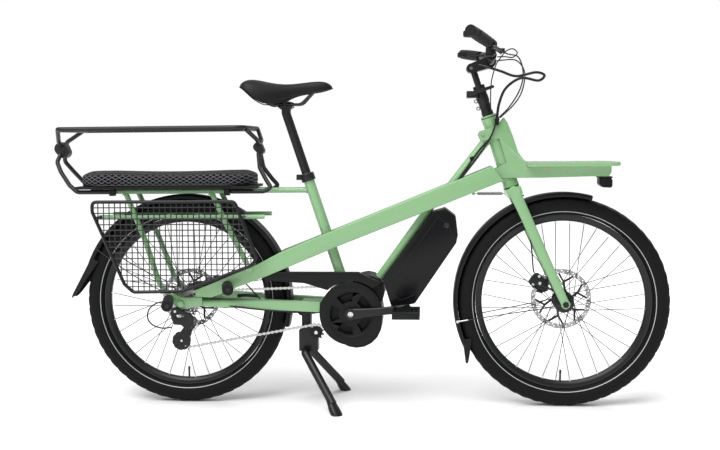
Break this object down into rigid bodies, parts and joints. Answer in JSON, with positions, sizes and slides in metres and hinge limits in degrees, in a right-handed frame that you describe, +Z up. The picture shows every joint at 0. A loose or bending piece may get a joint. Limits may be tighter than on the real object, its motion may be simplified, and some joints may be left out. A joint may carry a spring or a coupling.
{
  "type": "longtail cargo bicycle",
  "caption": "Electric longtail cargo bicycle with a padded passenger bench and rail, a side guard net, front carrier tray, mid motor, frame battery and two-legged kickstand.",
  "frame": {"origin": "middle of the bounding box at the ground", "axes": "+X forward, +Y to the rider's left, +Z up"},
  "size_m": [1.8374, 0.6814, 1.0841],
  "materials": {
    "frame_paint": "satin pastel green powder coat",
    "black_paint": "satin black",
    "rail_paint": "satin dark grey",
    "tyre": "matte, ribbed tread",
    "rotor_steel": "brushed",
    "chain_steel": "bare steel, lightly oiled",
    "bare_alloy": "satin",
    "black_plastic": "matte",
    "battery_shell": "half gloss",
    "motor_casing": "matte",
    "cushion_fabric": "grey spacer mesh",
    "saddle_skin": "matte black",
    "rubber": "matte",
    "cable_sheath": "satin",
    "lamp_body": "gloss"
  },
  "bodies": {
    "frame": {"right_beam": "frame_paint", "left_beam": "frame_paint", "head_tube": "frame_paint", "down_tube": "frame_paint", "seat_tube": "frame_paint", "chain_stays": "frame_paint", "right_rack_frame": "frame_paint", "left_rack_frame": "frame_paint", "seat_board": "black_plastic", "passenger_cushion": "cushion_fabric", "passenger_rail": "rail_paint", "rear_rail_legs": "rail_paint", "front_rail_legs": "rail_paint", "right_net_panel": "rail_paint", "rear_fender": "black_plastic", "front_right_peg": "rubber", "front_left_peg": "rubber", "rear_right_peg": "rubber", "rear_left_peg": "rubber", "kickstand_bracket": "black_paint", "chain_guard": "black_plastic", "chain": "chain_steel", "derailleur": "black_paint", "rear_caliper": "black_paint", "drive_motor": "motor_casing", "battery": "battery_shell", "front_rack": "frame_paint", "headlamp": "lamp_body", "seat_collar": "black_paint", "control_cables": "cable_sheath", "steering_spring": "bare_alloy"},
    "seat": {"seat_post": "black_paint", "saddle": "saddle_skin"},
    "stand": {"kickstand": "black_paint"},
    "crank_set": {"right_crank": "black_paint", "left_crank": "black_paint"},
    "right_pedal_set": {"right_pedal": "black_plastic"},
    "left_pedal_set": {"left_pedal": "black_plastic"},
    "cassette_set": {"cassette": "chain_steel"},
    "idler_set": {"idler_pulley": "black_plastic"},
    "rear_wheel_set": {"rear_tyre": "tyre", "rear_wheel": "black_paint", "rear_rotor": "rotor_steel"},
    "steering": {"fork": "frame_paint", "front_fender": "black_plastic", "front_caliper": "black_paint", "stem_clamp": "black_paint"},
    "stem_lock": {"stem_lever": "black_paint"},
    "front_wheel_set": {"front_tyre": "tyre", "front_wheel": "black_paint", "front_rotor": "rotor_steel"},
    "bars": {"stem": "black_paint", "handlebar": "black_paint", "right_grip": "rubber", "left_grip": "rubber", "display": "black_plastic"},
    "right_brake": {"right_brake_lever": "black_paint"},
    "left_brake": {"left_brake_lever": "black_paint"},
    "shifter": {"shift_lever": "black_plastic"}
  },
  "joints": [
    {"name": "steering_turn", "type": "hinge", "parent": "frame", "child": "steering", "pos_m": [0.46234, 0, 0.64488], "axis": [-0.3057, 0, 0.9521], "range_deg": [-60, 60], "stiffness_Nm_per_rad": 6, "deforming": ["steering_spring", "control_cables"]},
    {"name": "front_wheel_spin", "type": "hinge", "parent": "steering", "child": "front_wheel_set", "pos_m": [0.61025, 0, 0.3085], "axis": [0, 1, 0], "continuous": true},
    {"name": "rear_wheel_spin", "type": "hinge", "parent": "frame", "child": "rear_wheel_set", "pos_m": [-0.51275, 0, 0.3085], "axis": [0, 1, 0], "continuous": true},
    {"name": "crank_spin", "type": "hinge", "parent": "frame", "child": "crank_set", "pos_m": [-0.01025, 0, 0.279], "axis": [0, 1, 0], "continuous": true},
    {"name": "right_pedal_spin", "type": "hinge", "parent": "crank_set", "child": "right_pedal_set", "pos_m": [0.15385, -0.127, 0.29625], "axis": [0, 1, 0], "continuous": true},
    {"name": "left_pedal_spin", "type": "hinge", "parent": "crank_set", "child": "left_pedal_set", "pos_m": [-0.17435, 0.127, 0.26175], "axis": [0, 1, 0], "continuous": true},
    {"name": "cassette_spin", "type": "hinge", "parent": "frame", "child": "cassette_set", "pos_m": [-0.51275, -0.055, 0.3085], "axis": [0, 1, 0], "continuous": true},
    {"name": "idler_spin", "type": "hinge", "parent": "frame", "child": "idler_set", "pos_m": [-0.11425, -0.052, 0.222], "axis": [0, 1, 0], "continuous": true},
    {"name": "kickstand_fold", "type": "hinge", "parent": "frame", "child": "stand", "pos_m": [-0.15125, 0, 0.158], "axis": [0, 1, 0], "range_deg": [0, 100]},
    {"name": "seat_height", "type": "slide", "parent": "frame", "child": "seat", "axis": [-0.3123, 0, 0.95], "range_m": [-0.06, 0.05]},
    {"name": "stem_height", "type": "slide", "parent": "steering", "child": "bars", "axis": [-0.3057, 0, 0.9521], "range_m": [0, 0.04], "deforming": ["control_cables"]},
    {"name": "stem_lever_open", "type": "hinge", "parent": "steering", "child": "stem_lock", "pos_m": [0.34015, 0, 0.9176], "axis": [0, 1, 0], "range_deg": [-60, 0]},
    {"name": "right_brake_pull", "type": "hinge", "parent": "bars", "child": "right_brake", "pos_m": [0.42341, -0.19, 1.02792], "axis": [0, 0, 1], "range_deg": [-12, 0], "stiffness_Nm_per_rad": 6, "springref_deg": 5.73},
    {"name": "left_brake_pull", "type": "hinge", "parent": "bars", "child": "left_brake", "pos_m": [0.42341, 0.19, 1.02792], "axis": [0, 0, 1], "range_deg": [0, 12], "stiffness_Nm_per_rad": 6, "springref_deg": -5.73},
    {"name": "shift_swing", "type": "hinge", "parent": "bars", "child": "shifter", "pos_m": [0.3926, -0.1673, 1.021], "axis": [0, 0, 1], "range_deg": [-15, 15], "stiffness_Nm_per_rad": 1}
  ],
  "couplings": [
    {"joint": "cassette_spin", "follows": "crank_spin", "ratio": 2.5015},
    {"joint": "idler_spin", "follows": "crank_spin", "ratio": -3.513}
  ]
}
